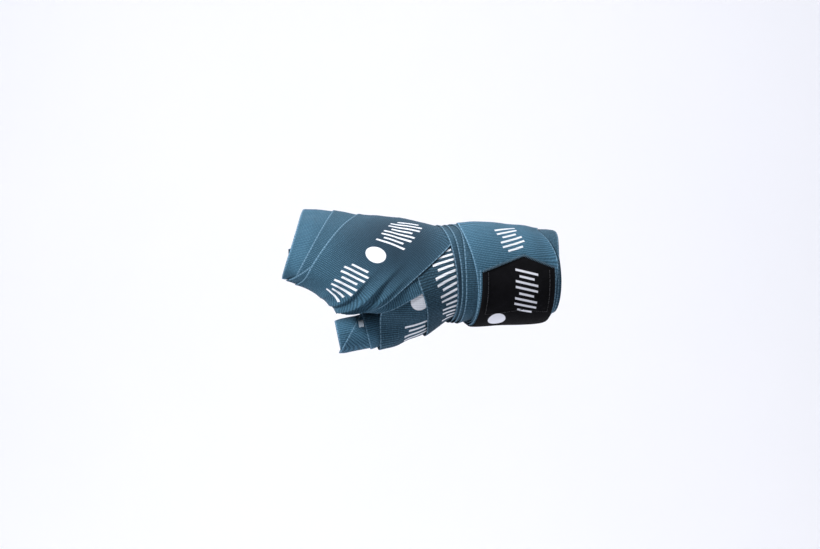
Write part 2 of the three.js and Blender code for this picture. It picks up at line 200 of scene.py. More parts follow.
def thumb_form(opening, axis, radius, taper, length):
    """The thumb as a slightly oval, tapering tube from its opening toward the hand."""
    stations = np.arange(-FORM_END, length + 0.01, 0.5)
    axis = axis / np.linalg.norm(axis)
    up = np.cross(axis, [0, 1, 0])
    up /= np.linalg.norm(up)
    side = np.cross(up, axis)
    around = np.cos(ANGLES)[:, None] * up + np.sin(ANGLES)[:, None] * side
    directions = np.broadcast_to(around, (len(stations), SIDES, 3)).copy()
    centres = opening + stations[:, None] * axis
    reach = np.broadcast_to((radius + taper * stations)[:, None], (len(stations), SIDES)).copy()
    reach *= 1 + THUMB_OVAL * np.cos(2 * ANGLES)[None, :]
    form = Form(stations, centres, directions, reach)
    form.top += THUMB_ROUGHNESS * (1 + noise(reach.shape, 8, 10))
    return form


# ---------------------------------------------------------------- turns of the strip

DRAPE_CELLS = 2  # stations and angles over which a layer rests on the highest point
DRAPE_BLUR = 3.0
CREASE_SIZE = (3, 14)  # of the small folds, in stations and angles
CURL_SIZE = (8, 16)  # of the stretches of edge that lift
CURLED = 0.2  # share of the half width where an edge may lift
COVER_MARGIN = 1.0  # how far beyond its edges, both together, a turn holds off the next ones
SEAM = 0.75  # share of the circle where a whole turn's ends meet, on the far side
EDGE_ROUND = 0.25  # how far an edge's rounding stands past the strip's half width
EDGE_INSET = 0.3  # from the half width to the first row of whole thickness
EDGE_TOP = (0.62, 0.9)  # heights of an edge's rows on the upper side, as shares of the thickness
EDGE_BOTTOM = (0.38, 0.1)
BEAD_HIGH = 0.06  # of the raised line of the selvedge
BEAD_BELOW = 0.3  # share of it on the under side
BEAD_AT = 1.0  # from the strip's edge
BEAD_WIDE = 0.6
SMALL_STEP = 1e-6  # keeps places along a form rising
ROWS, WEB_ROWS = 44, 72  # rows of points across a turn, and across one with folds in the web


class Turn:
    """One turn: a band of a form between two parallel planes. left and right move its two edges along the
    form, angle by angle: where they close up the strip is gathered, where they part it is stretched.
    pleats gives the height of its folds, and crease and lift those of its small folds and lifting edges."""

    def __init__(
        self,
        name,
        form,
        middle,
        facing,
        width=STRIP_WIDTH,
        left=0.0,
        right=0.0,
        pleats=None,
        crease=0.2,
        lift=0.2,
    ):
        self.name = name
        self.form = form
        self.middle = np.array(middle, float)
        self.facing = np.array(facing, float) / np.linalg.norm(facing)
        self.width = width
        self.drift = (left + right) / 2 + np.zeros(SIDES)
        self.gather = 1 + (right - left) / width + np.zeros(SIDES)
        self.pleats = pleats
        self.crease = crease
        self.lift = lift

    def offsets(self, height):
        """How far each point of the form lies across the strip from its middle line."""
        plain = (self.form.points(height) - self.middle) @ self.facing
        return (plain - self.drift[None, :]) / self.gather[None, :]

    def lay(self, over=None):
        """Drapes the turn over what is already there, and builds the form's top up by its layer."""
        form = self.form
        below = form.top if over is None else np.maximum(form.top, over)
        drape = np.maximum(blur(grown(below, DRAPE_CELLS), DRAPE_BLUR, DRAPE_BLUR), below)
        offsets = self.offsets(drape)
        across = np.abs(offsets) / (self.width / 2)
        folds = np.clip(noise(drape.shape, *CREASE_SIZE), 0, None) * self.crease
        curl = np.clip((across - (1 - CURLED)) / CURLED, 0, 1) ** 2
        edge = curl * (0.5 + 0.5 * noise(drape.shape, *CURL_SIZE))
        self.height = drape + folds + self.lift * np.clip(edge, 0, None)
        if self.pleats is not None:
            self.height += self.pleats(offsets)
        covered = across < 1 + COVER_MARGIN / self.width
        form.top = np.where(covered, np.maximum(form.top, self.height + LAYER), form.top)

    def section(self, rows):
        """The strip's cross-section as a closed loop of (distance across, lift): rounded, beaded edges."""
        half = self.width / 2
        v = np.linspace(-half + EDGE_INSET, half - EDGE_INSET, rows)
        bead = BEAD_HIGH * np.exp(-(((half - BEAD_AT - np.abs(v)) / BEAD_WIDE) ** 2))
        v = np.concatenate([[-half - EDGE_ROUND, -half], v, [half, half + EDGE_ROUND]])
        upper, lower = CLOTH * np.array(EDGE_TOP), CLOTH * np.array(EDGE_BOTTOM)
        top = np.concatenate([upper, CLOTH + bead, upper[::-1]])
        bottom = np.concatenate([lower, -BEAD_BELOW * bead, lower[::-1]])
        return np.concatenate([v, v[::-1]]), np.concatenate([top, bottom[::-1]])

    def table(self, v, lift):
        """Where each point of the section lies at each angle: (angles, points, 3)."""
        form = self.form
        offsets = np.maximum.accumulate(self.offsets(self.height), axis=0)
        offsets += np.arange(len(form.stations))[:, None] * SMALL_STEP
        out = np.empty((SIDES, len(v), 3))
        index = np.arange(len(form.stations), dtype=float)
        for side in range(SIDES):
            place = np.interp(v, offsets[:, side], index)
            low = np.clip(place.astype(int), 0, len(index) - 2)
            part = (place - low)[:, None]
            reach = (form.reach + self.height)[:, side]
            reach = reach[low] * (1 - part[:, 0]) + reach[low + 1] * part[:, 0] + lift
            direction = form.directions[low, side] * (1 - part) + form.directions[low + 1, side] * part
            centre = form.centres[low] * (1 - part) + form.centres[low + 1] * part
            out[side] = centre + direction * reach[:, None]
        return out

    def mesh(self, columns=SIDES, rows=ROWS, thickness=1.0, ends=None):
        """The turn as a mesh, once round from the seam, unless ends(ring, v) gives where it starts and
        stops, row by row, in steps round the form. grid keeps its points and distances for later."""
        v, lift = self.section(rows)
        lift = lift * thickness
        ring = self.table(v, lift)
        ring = np.concatenate([ring, ring, ring[:1]])
        starts = np.full(len(v), SEAM * SIDES)
        stops = starts + SIDES
        if ends is not None:
            starts, stops = ends(ring, v)
        steps = np.linspace(0, 1, columns + 1)[:, None]
        place = starts[None, :] + (stops - starts)[None, :] * steps
        low = np.clip(place.astype(int), 0, len(ring) - 2)
        part = (place - low)[:, :, None]
        own = np.arange(len(v))[None, :]
        points = ring[low, own] * (1 - part) + ring[low + 1, own] * part
        u = strip_lengths(points, v)
        self.grid = (points, u, v)
        return strip_object(self.name, points, u, v)


def strip_lengths(points, v):
    """Distance along the strip at each point, so that a rib is square to the strip's edges."""
    half = len(v) // 2
    middle = half // 2
    along = np.linalg.norm(np.diff(points[:, middle], axis=0), axis=1)
    u = np.zeros(points.shape[:2])
    u[1:, middle] = np.cumsum(along)
    u[:, middle] *= RIB_PITCH * round(u[-1, middle] / RIB_PITCH) / u[-1, middle]
    tangent = np.gradient(points, axis=0)
    tangent /= np.linalg.norm(tangent, axis=2, keepdims=True) + 1e-9
    for step, stop in ((1, half), (-1, -1)):
        for i in range(middle + step, stop, step):
            across = points[:, i] - points[:, i - step]
            u[:, i] = u[:, i - step] + (across * (tangent[:, i] + tangent[:, i - step]) / 2).sum(axis=1)
    u[:, half:] = u[:, half - 1 :: -1][:, :half]
    return u


def new_object(name, vertices, faces):
    """A smooth mesh object from points in millimetres and lists of faces, turned outwards."""
    mesh = bpy.data.meshes.new(name)
    mesh.from_pydata((np.asarray(vertices) * MM).tolist(), [], faces)
    mesh.validate()
    work = bmesh.new()
    work.from_mesh(mesh)
    bmesh.ops.recalc_face_normals(work, faces=work.faces)
    work.to_mesh(mesh)
    work.free()
    mesh.polygons.foreach_set("use_smooth", [True] * len(mesh.polygons))
    made = bpy.data.objects.new(name, mesh)
    bpy.context.scene.collection.objects.link(made)
    return made


def strip_object(name, points, u, v):
    """A ribbon of closed sections with capped ends, which carries its distances along and across."""
    columns, count = points.shape[:2]
    index = np.arange(columns * count).reshape(columns, count)
    following = np.roll(index, -1, axis=1)
    sides = np.stack([index[:-1], following[:-1], following[1:], index[1:]], axis=2).reshape(-1, 4)
    half = count // 2
    caps = []
    for column in (0, columns - 1):
        for i in range(half - 1):
            caps.append(index[column, [i, i + 1, count - 2 - i, count - 1 - i]])
    made = new_object(name, points.reshape(-1, 3), np.concatenate([sides, np.array(caps)]).tolist())
    for key, value in (("strip_u", u), ("strip_v", np.broadcast_to(v, u.shape))):
        attribute = made.data.attributes.new(key, "FLOAT", "POINT")
        attribute.data.foreach_set("value", value.reshape(-1).astype(np.float32))
    return made


NEAR_SIDE = -18  # Y that parts the near side from the far one
FAR_PENALTY = 4  # how much worse it is to miss by depth than by X or Z


def near_mark(turn, x, z):
    """Distance along and across a turn of its near side's point at X and Z."""
    points, u, v = turn.grid
    half = len(v) // 2
    seen = points[:, :half]
    miss = np.hypot(seen[:, :, 0] - x, seen[:, :, 2] - z)
    miss += np.maximum(0, seen[:, :, 1] - NEAR_SIDE) * FAR_PENALTY
    column, row = np.unravel_index(np.argmin(miss), miss.shape)
    return float(u[column, row]), float(v[row])


# ---------------------------------------------------------------- materials


def linear(code):
    """Linear colour from a six-figure display colour."""
    parts = [int(code[i : i + 2], 16) / 255 for i in (0, 2, 4)]
    return [p / 12.92 if p < 0.04045 else ((p + 0.055) / 1.055) ** 2.4 for p in parts] + [1]


def shaded(code, shade):
    """Linear colour of a display colour, made lighter or darker."""
    return [part * shade for part in linear(code)[:3]] + [1]


class Shader:
    """A material being built: short calls for its nodes."""

    def __init__(self, name, roughness=0.85, sheen=0.0, shine=0.2):
        self.material = bpy.data.materials.new(name)
        self.material.use_nodes = True
        self.nodes = self.material.node_tree.nodes
        self.links = self.material.node_tree.links
        self.surface = self.nodes["Principled BSDF"]
        self.surface.inputs["Roughness"].default_value = roughness
        self.surface.inputs["Sheen Weight"].default_value = sheen
        self.surface.inputs["Specular IOR Level"].default_value = shine

    def put(self, socket, value):
        if isinstance(value, bpy.types.NodeSocket):
            self.links.new(value, socket)
        else:
            socket.default_value = value

    def math(self, operation, a, b=0.0, c=0.0):
        node = self.nodes.new("ShaderNodeMath")
        node.operation = operation
        for socket, value in zip(node.inputs, (a, b, c)):
            self.put(socket, value)
        return node.outputs[0]

    def mix(self, factor, a, b):
        node = self.nodes.new("ShaderNodeMix")
        node.data_type = "RGBA"
        self.put(node.inputs["Factor"], factor)
        self.put(node.inputs["A"], a)
        self.put(node.inputs["B"], b)
        return node.outputs["Result"]

    def attribute(self, name):
        node = self.nodes.new("ShaderNodeAttribute")
        node.attribute_name = name
        return node.outputs["Fac"]

    def coordinates(self):
        return self.nodes.new("ShaderNodeTexCoord").outputs["Object"]

    def noise(self, scale, detail=3.0, roughness=0.55):
        node = self.nodes.new("ShaderNodeTexNoise")
        self.put(node.inputs["Vector"], self.coordinates())
        node.inputs["Scale"].default_value = scale
        node.inputs["Detail"].default_value = detail
        node.inputs["Roughness"].default_value = roughness
        return node.outputs["Fac"]

    def wave(self, value, pitch):
        """0 to 1 to 0 over each pitch."""
        turned = self.math("MULTIPLY", value, 2 * math.pi / pitch)
        return self.math("MULTIPLY_ADD", self.math("SINE", turned), 0.5, 0.5)

    def within(self, value, half, soft=0.15):
        """1 where the value is nearer to 0 than half, with a soft border."""
        gap = self.math("SUBTRACT", half, self.math("ABSOLUTE", value))
        node = self.nodes.new("ShaderNodeClamp")
        self.put(node.inputs[0], self.math("MULTIPLY_ADD", gap, 1 / soft, 0.5))
        return node.outputs[0]

    def bump(self, height, distance, strength=1.0):
        node = self.nodes.new("ShaderNodeBump")
        node.inputs["Strength"].default_value = strength
        node.inputs["Distance"].default_value = distance
        self.put(node.inputs["Height"], height)
        self.links.new(node.outputs["Normal"], self.surface.inputs["Normal"])

    def colour(self, value):
        self.put(self.surface.inputs["Base Color"], value)


BAR_PITCH = 3.6
BAR_SHARE = 0.2  # half width of a printed bar, as a share of the pitch
BAR_SOFT = 0.06
BAR_LEAN = 0.22
MARK_HALF = 7.5  # half height of a printed bar
SHORTER = 2.5  # by how much every third bar is less high
DISC_RADIUS = 5.6
PRINT_SOFT = 0.3  # width of a mark's soft border


def printed(shader, u, v, marks):
    """Mask of the printed marks, plain discs and runs of leaning bars. A mark is its kind, its place along
    and across the strip, and how many bars there are each way from there."""
    mask = 0.0
    for kind, mark_u, mark_v, bars in marks:
        du = shader.math("SUBTRACT", u, mark_u)
        dv = shader.math("SUBTRACT", v, mark_v)
        if kind == "disc":
            square = shader.math("ADD", shader.math("MULTIPLY", du, du), shader.math("MULTIPLY", dv, dv))
            shape = shader.within(shader.math("SQRT", square), DISC_RADIUS, PRINT_SOFT)
        else:
            lean = shader.math("MULTIPLY_ADD", dv, BAR_LEAN, du)
            phase = shader.math("FRACT", shader.math("DIVIDE", lean, BAR_PITCH))
            bar = shader.within(shader.math("SUBTRACT", phase, 0.5), BAR_SHARE, BAR_SOFT)
            three = shader.math("FRACT", shader.math("DIVIDE", lean, BAR_PITCH * 3))
            third = shader.math("GREATER_THAN", three, 2 / 3)
            height = shader.math("MULTIPLY_ADD", third, -SHORTER, MARK_HALF)
            tall = shader.within(dv, height, PRINT_SOFT)
            run = shader.within(lean, bars * BAR_PITCH, PRINT_SOFT)
            shape = shader.math("MULTIPLY", shader.math("MULTIPLY", bar, tall), run)
        mask = shader.math("MAXIMUM", mask, shape)
    return mask


FURROW_BLUE = "1A2E3A"  # between the ribs
RIB_BLUE = "3D647C"
FLECK_BLUE = "6E98B5"
WORN_BLUE = "22404F"
# Colour of the patches of painted shade.
PAINTED_SHADE_BLUE = "1A2C3A"
EDGE_BLUE = "86A9C2"
PRINT_WHITE = "DFE2EA"
PILE_BLACKS = ("040405", "1B1B20")
HOOK_BLACKS = ("0B0B0D", "34343A")
PILE_PRINT = "DFE1EA"
RIB_NOISE, YARN_NOISE = 260, 400  # noise scales, per metre
FLECK_NOISE, WORN_NOISE = 1500, 45
PILE_NOISE, MATTED_NOISE = 2600, 160
HOOK_NOISE, TWIST_NOISE = 900, 2400
YARN_PITCH = 0.9  # of the yarns along the strip
RIB_WOBBLE = 0.7
YARN_WOBBLE = 0.4
WEAVE_PART = 0.35  # share of the weave that each of its three parts gives
CROSSED = (0.45, 0.2)  # how much the yarns add to their part of the weave, and the least of it
DASHES = (0.3, 0.15)  # how much the ribs add to the edge yarn's tint, and the least of it
FLECK_HEIGHT = 0.35
FLECKS_FROM = 0.42
FLECK_STRENGTH = 1.5
WORN_SHARE = 0.35
WORN_SHADE = 0.8
# How far the patches of painted shade darken the cloth.
PAINTED_SHADE_SHARE = 0.86
PATCH_CORE = 0.2  # share of a patch's radius that is wholly dark
EDGE_YARN = 0.3  # half width of the pale yarn along each edge
EDGE_SOFT = 0.2
PRINT_COVER = (0.22, 0.76)  # how much the ribs add to the print's cover, and the least cover
WEAVE_DEPTH = 0.0003  # of the bump, in metres
PRINT_HEIGHT = 0.25  # of the print on the weave, as a share of that


def painted_shade_patch(shader, middle, radius):
    """1 in the middle of a patch of painted shade on the cloth, fading to 0 at its radius."""
    distance = shader.nodes.new("ShaderNodeVectorMath")
    distance.operation = "DISTANCE"
    shader.put(distance.inputs[0], shader.coordinates())
    distance.inputs[1].default_value = [part * MM for part in middle]
    fade = shader.nodes.new("ShaderNodeMapRange")
    fade.interpolation_type = "SMOOTHSTEP"
    shader.put(fade.inputs["Value"], distance.outputs["Value"])
    fade.inputs["From Min"].default_value = radius * MM
    fade.inputs["From Max"].default_value = PATCH_CORE * radius * MM
    return fade.outputs["Result"]


def cloth(name, marks=(), shade=1.0, width=STRIP_WIDTH, shade_patch=None):
    """Ribbed elastic weave in heathered slate blue, with pale edge yarns and printed marks. shade makes the
    whole cloth lighter or darker as painted light and shade. The dark patch, if given, is the middle of a
    patch of painted shade, in millimetres, and its radius."""
    shader = Shader(name, roughness=0.9, sheen=0.05, shine=0.1)
    u, v = shader.attribute("strip_u"), shader.attribute("strip_v")
    rib = shader.wave(shader.math("MULTIPLY_ADD", shader.noise(RIB_NOISE, 3), RIB_WOBBLE, u), RIB_PITCH)
    yarn = shader.wave(shader.math("MULTIPLY_ADD", shader.noise(YARN_NOISE, 2), YARN_WOBBLE, v), YARN_PITCH)
    crossed = shader.math("MULTIPLY_ADD", yarn, *CROSSED)
    ribs = shader.math("MULTIPLY", rib, WEAVE_PART)
    weave = shader.math("MULTIPLY_ADD", shader.math("MULTIPLY", rib, yarn), WEAVE_PART, ribs)
    weave = shader.math("MULTIPLY_ADD", crossed, WEAVE_PART, weave)
    speckle = shader.noise(FLECK_NOISE, 2)
    # shade makes the cloth's colours lighter or darker as painted light and shade.
    ground = shader.mix(weave, shaded(FURROW_BLUE, shade), shaded(RIB_BLUE, shade))
    fleck = shader.math("MULTIPLY", shader.math("SUBTRACT", speckle, FLECKS_FROM), FLECK_STRENGTH)
    colour = shader.mix(shader.math("MULTIPLY", fleck, weave), ground, linear(FLECK_BLUE))
    worn = shader.math("MULTIPLY", shader.noise(WORN_NOISE, 4), WORN_SHARE)
    colour = shader.mix(worn, colour, shaded(WORN_BLUE, shade * WORN_SHADE))
    # A patch of painted shade over part of the cloth.
    if shade_patch:
        *middle, radius = shade_patch
        share = shader.math("MULTIPLY", painted_shade_patch(shader, middle, radius), PAINTED_SHADE_SHARE)
        colour = shader.mix(share, colour, linear(PAINTED_SHADE_BLUE))
    from_edge = shader.math("SUBTRACT", shader.math("ABSOLUTE", v), width / 2 - EDGE_YARN)
    edge = shader.within(from_edge, EDGE_YARN, EDGE_SOFT)
    dashes = shader.math("MULTIPLY_ADD", shader.wave(u, RIB_PITCH * 2), *DASHES)
    colour = shader.mix(shader.math("MULTIPLY", edge, dashes), colour, linear(EDGE_BLUE))
    height = shader.math("MULTIPLY_ADD", speckle, FLECK_HEIGHT, weave)
    if marks:
        mask = printed(shader, u, v, marks)
        cover = shader.math("MULTIPLY", mask, shader.math("MULTIPLY_ADD", weave, *PRINT_COVER))
        colour = shader.mix(cover, colour, linear(PRINT_WHITE))
        height = shader.math("MULTIPLY_ADD", mask, PRINT_HEIGHT, height)
    shader.colour(colour)
    shader.bump(height, WEAVE_DEPTH)
    return shader.material


PILE_DEPTH, PILE_BUMP = 0.0003, 0.9  # of the bump, in metres, and its strength
MATTED_HEIGHT = 0.6  # of the matted places, as a share of the pile's
PILE_COVER = 0.92  # of the print
HOOK_DEPTH = 0.0005
HOOK_PITCHES = (1.3, 1.1)  # along and across the tape
THREAD_DEPTH, THREAD_BUMP = 0.0001, 0.8


def loop_pile(name, marks=()):
    """Short black loop pile, matted in places, with printed marks."""
    shader = Shader(name, roughness=0.95, sheen=0.02, shine=0.06)
    pile = shader.noise(PILE_NOISE, 3, 0.7)
    matted = shader.noise(MATTED_NOISE, 3)
    dark, pale = PILE_BLACKS
    colour = shader.mix(shader.math("MULTIPLY", pile, matted), linear(dark), linear(pale))
    if marks:
        u, v = shader.attribute("strip_u"), shader.attribute("strip_v")
        mask = printed(shader, u, v, marks)
        colour = shader.mix(shader.math("MULTIPLY", mask, PILE_COVER), colour, linear(PILE_PRINT))
    shader.colour(colour)
    height = shader.math("ADD", pile, shader.math("MULTIPLY", matted, MATTED_HEIGHT))
    shader.bump(height, PILE_DEPTH, PILE_BUMP)
    return shader.material


def hook_tape():
    """Moulded hooks in rows on black tape."""
    shader = Shader("hook_tape", roughness=0.5)
    u, v = shader.attribute("strip_u"), shader.attribute("strip_v")
    hooks = shader.math("MULTIPLY", shader.wave(u, HOOK_PITCHES[0]), shader.wave(v, HOOK_PITCHES[1]))
    dark, pale = HOOK_BLACKS
    shader.colour(shader.mix(hooks, linear(dark), linear(pale)))
    shader.bump(shader.math("ADD", hooks, shader.noise(HOOK_NOISE, 2)), HOOK_DEPTH)
    return shader.material


def thread(name, dark, pale):
    """Twisted sewing thread, between two display colours."""
    shader = Shader(name, roughness=0.7, sheen=0.15)
    twist = shader.noise(TWIST_NOISE, 2)
    shader.colour(shader.mix(twist, linear(dark), linear(pale)))
    shader.bump(twist, THREAD_DEPTH, THREAD_BUMP)
    return shader.material


def dress(piece, material, body, slot, *nodes):
    """Gives a piece its material, hides the CAD nodes it replaces, and puts it on its body, if any. Its
    slot is not used.
    """
    piece.data.materials.append(material)
    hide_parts(*nodes)
    if body:
        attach(piece, body)


# ---------------------------------------------------------------- laying the wrap

hand = hand_form()
THUMB_OPENING = np.array([-137.0, -25.0, -37.8])
THUMB_AXIS = np.array([0.975, 0.05, 0.2])
THUMB_TUBE = 12.3  # outer radius of the wrapped thumb at its root
THUMB_RADIUS = 8.5
THUMB_TAPER = 0.012
THUMB_LENGTH = 36
thumb = thumb_form(THUMB_OPENING, THUMB_AXIS, THUMB_RADIUS, THUMB_TAPER, THUMB_LENGTH)
HEEL_OVER_THUMB = (-119, -98)  # X between which the heel turn passes over the thumb


def around_thumb():
    """How high the heel turn has to lie on the hand form to pass over the wrapped thumb."""
    away = (HAND_X - THUMB_OPENING[0]) / THUMB_AXIS[0]
    y = THUMB_OPENING[1] + away * THUMB_AXIS[1] - hand.centres[:, 1]
    z = THUMB_OPENING[2] + away * THUMB_AXIS[2] - hand.centres[:, 2]
    along = hand.directions[:, :, 1] * y[:, None] + hand.directions[:, :, 2] * z[:, None]
    miss = (y**2 + z**2)[:, None] - along**2
    far = along + np.sqrt(np.maximum(0, THUMB_TUBE**2 - miss))
    covered = (HAND_X > HEEL_OVER_THUMB[0]) & (HAND_X < HEEL_OVER_THUMB[1])
    hit = (miss < THUMB_TUBE**2) & (along > 0) & covered[:, None]
    return np.where(hit, far - hand.reach, 0)


WEB_ANGLE = 205  # where turns pass through the web of the thumb, in degrees round the hand
PALM_ANGLE = 255  # where they come round to the palm


def through_web(amount, spread=26):
    """As bulge, but holding on from the web of the thumb to the palm, where the thumb is in the way."""
    angle = np.degrees(ANGLES)
    away = np.where(angle < WEB_ANGLE, WEB_ANGLE - angle, np.maximum(0, angle - PALM_ANGLE))
    return amount * np.exp(-((away / spread) ** 2))


FOLDS_WHOLE = (150, 235)  # degrees between which folds in the web have their whole height
FOLDS_FADE = 28
FOLDS_CROWD = 6  # how far folds are pushed across the strip in the web
GENTLE_SIDE, SHARP_SIDE = 3.0, 1.1  # widths of a fold's two sides


def web_pleats(folds):
    """Folds along the strip that fade away from the web of the thumb, each by its place across the strip
    and its height: it rises gently and drops sharply."""
    angle = np.degrees(ANGLES)
    away = np.where(angle < FOLDS_WHOLE[0], FOLDS_WHOLE[0] - angle, np.maximum(0, angle - FOLDS_WHOLE[1]))
    fade = np.exp(-((away / FOLDS_FADE) ** 2))[None, :]
    crowding = bulge(WEB_ANGLE, FOLDS_FADE, FOLDS_CROWD)[None, :]

    def pleats(offsets):
        raised = np.zeros(offsets.shape)
        for place, height in folds:
            past = offsets - place - crowding
            raised += height * np.exp(-((past / np.where(past < 0, GENTLE_SIDE, SHARP_SIDE)) ** 2))
        return raised * fade

    return pleats


def wrist(distance):
    """A point on the wrist's axis."""
    return WRIST_AXIS * distance


turns = {}


def lay(name, *where, form=hand, over=None, **how):
    """Makes a turn and lays it on its form, over the turns that are laid already."""
    turns[name] = Turn(name, form, *where, **how)
    turns[name].lay(over)


lay("inner_palm_turns", (-128, -22, 10), (1, 0, -0.15), width=56, right=through_web(-24))
lay("inner_wrist_turns", wrist(-32), WRIST_AXIS, width=58)
lay(
    "knuckle_turn_1",
    (-141, -22, 10.5),
    (0.959, 0, -0.282),
    left=bulge(50, 40, -1.5),
    right=through_web(-8),
)
lay("knuckle_turn_2", (-130, -22, 7), (0.89, 0, -0.456), right=through_web(-13))
lay("heel_turn", (-86, -22, -10), (0.985, 0.17, 0.05), over=around_thumb(), left=bulge(200, 60, -2.8))
lay(
    "web_pass_1",
    (-117, -22, 2),
    (0.62, 0, -0.78),
    left=bulge(WEB_ANGLE, 34, -3),
    right=through_web(-13, 20) + bulge(120, 45, 6),
    pleats=web_pleats([(17, 0.7)]),
)
lay("cross_turn", (-61.5, -20, -8), (0.95, 0.2, 0.16), left=bulge(115, 35, -3.3))
lay(
    "web_pass_2",
    (-113.5, -22, 13),
    (0.75, 0, -0.66),
    left=bulge(80, 40, -2.5) + bulge(165, 30, 2.5),
    right=bulge(80, 50, 6) + through_web(-17, 28),
    pleats=web_pleats([(13.5, 3.0), (21.5, 1.2), (5, 1.3), (-6, 0.5)]),
)
lay("wrist_turn_1", wrist(-30.2), WRIST_AXIS, right=bulge(35, 50, 6))
lay("wrist_turn_2", wrist(-46.5), (0.96, 0.29, 0.06))
lay("wrist_turn_3", wrist(-43.5), (0.96, 0.28, 0.03))
lay("wrist_turn_4", wrist(-41), (0.96, 0.27, 0.04), left=bulge(60, 35, 2.6))
lay(
    "wrist_turn_5",
    wrist(TAB_MIDDLE),
    WRIST_AXIS,
    left=bulge(60, 50, -6),
    right=bulge(45, 20, -4) + bulge(100, 25, 2.7),
)
lay("loop_landing", wrist(TAB_MIDDLE), WRIST_AXIS, width=47, crease=0, lift=0)
lay("hook_panel", wrist(TAB_MIDDLE), WRIST_AXIS, width=45, crease=0, lift=0)
lay("closing_strip", wrist(TAB_MIDDLE), WRIST_AXIS, crease=0.05, lift=0)
lay("closing_loop_face", wrist(TAB_MIDDLE), WRIST_AXIS, width=48, crease=0.05, lift=0.15)


def thumb_turn(name, distance, width, slope):
    """Lays a turn round the thumb at a distance from its opening, leaning by a slope."""
    facing = THUMB_AXIS + np.array([0, 0, slope])
    lay(name, THUMB_OPENING + THUMB_AXIS * distance, facing, form=thumb, width=width, crease=0.06, lift=0.4)


thumb_turn("thumb_loop", 11, 16, 0)
thumb_turn("thumb_turn_1", 20, 40, 0)
thumb_turn("thumb_turn_2", 34, 40, -0.75)
thumb_turn("thumb_turn_3", 38, 40, 0.05)

# Painted shade: the inner turns, which lie under the outer ones, are made darker.
INNER_PAINTED_SHADE = 0.75
for name in ("inner_palm_turns", "inner_wrist_turns"):
    piece = turns[name].mesh()
    dress(piece, cloth(name, shade=INNER_PAINTED_SHADE), "wrap", "inner_strip", name)

# Printed marks: kind, X and Z on the near side, and how many bars there are each way from there.
PRINTS = {
    "web_pass_2": [("disc", -113, 13, 0), ("bars", -98, 27, 4), ("bars", -130, -4, 4)],
    "heel_turn": [("disc", -86, -16, 0), ("bars", -88, -34, 2)],
    "cross_turn": [("bars", -67, -8, 7)],
    "wrist_turn_5": [("bars", -29, 24, 3)],
}
# Painted light and shade: how light each turn's cloth is made, against the plain colour, to stand for how
# the light falls on it.
TURN_LIGHT_AND_SHADE = {
    "knuckle_turn_1": 1.34,
    "knuckle_turn_2": 1.1,
    "heel_turn": 0.75,
    "cross_turn": 0.55,
    "web_pass_2": 1.05,
    "wrist_turn_1": 0.85,
    "wrist_turn_2": 0.9,
    "wrist_turn_3": 0.75,
    "wrist_turn_4": 0.85,
    "wrist_turn_5": 1.5,
    "thumb_loop": 0.7,
    "thumb_turn_1": 1.4,
    "thumb_turn_2": 1.3,
    "thumb_turn_3": 1.45,
}
# Patches of painted shade on the cloth: the middle of the patch, and its radius.
PAINTED_SHADE_PATCHES = {"web_pass_2": (-99, -40, 28, 52), "wrist_turn_2": (-62, -40, 0, 30)}
for name in (
    "knuckle_turn_1",
    "knuckle_turn_2",
    "heel_turn",
    "cross_turn",
    "web_pass_1",
    "web_pass_2",
    "wrist_turn_1",
    "wrist_turn_2",
    "wrist_turn_3",
    "wrist_turn_4",
    "wrist_turn_5",
):
    piece = turns[name].mesh(rows=WEB_ROWS if name.startswith("web") else ROWS)
    marks = [(kind, *near_mark(turns[name], x, z), bars) for kind, x, z, bars in PRINTS.get(name, [])]
    shade, patch = TURN_LIGHT_AND_SHADE.get(name, 1.0), PAINTED_SHADE_PATCHES.get(name)
    dress(piece, cloth(name, marks, shade, shade_patch=patch), "wrap", "strip", name)
for name in ("thumb_loop", "thumb_turn_1", "thumb_turn_2", "thumb_turn_3"):
    piece = turns[name].mesh(columns=120, rows=24)
    slot = "inner_strip" if name == "thumb_loop" else "strip"
    dress(piece, cloth(name, shade=TURN_LIGHT_AND_SHADE.get(name, 1.0), width=turns[name].width), "wrap", slot, name)

# ---------------------------------------------------------------- the closure

TAIL_TOP = -18  # how high the tail reaches behind the wrist
ABOVE_TAB = int(0.17 * SIDES)  # step round the wrist above the tab's point
UNDER_WRIST = 0.6 * SIDES  # step round the wrist where the landing begins
BEHIND = int(UNDER_WRIST)  # and where the far side does
FOLD_FROM, FOLD_TO = int(0.3 * SIDES), int(0.7 * SIDES)  # steps between which the fold lies
ABOVE_FOLD = 0.8  # from the fold's plane to the hook panel
FACE_INSET = 1.3  # how far the loop face's point stays below the strip's
HOOK_INSET = 1.5
LANDING_INSET = 3
PANEL_THICKNESS = 0.9  # of hook and loop tape, as a share of a layer
CLOSING_THICKNESS = 0.95


def fold_normal():
    """Upward normal of the plane through the wrist's axis on which the tab folds."""
    return np.array([0.28 * math.sin(FOLD_ANGLE), -0.96 * math.sin(FOLD_ANGLE), math.cos(FOLD_ANGLE)])


def above_tab(point, inset):
    """How high a point is above the two slopes of the tab."""
    return point[2] - (TAB_APEX[1] - inset - TAB_SLOPE * abs(point[0] - TAB_APEX[0]))


def pointed(inset):
    """The closure's ends: level behind the wrist, and the two slopes of the tab in front."""

    def ends(ring, v):
        stops = np.empty(len(v))
        for i in range(len(v)):
            for side in range(ABOVE_TAB, BEHIND):
                over = above_tab(ring[side, i], inset)
                if over < 0:
                    last = above_tab(ring[side - 1, i], inset)
                    stops[i] = side - 1 + last / (last - over)
                    break
        starts = BEHIND + np.argmax(ring[BEHIND:SIDES, :, 2] > TAIL_TOP, axis=0)
        return starts.astype(float), stops

    return ends


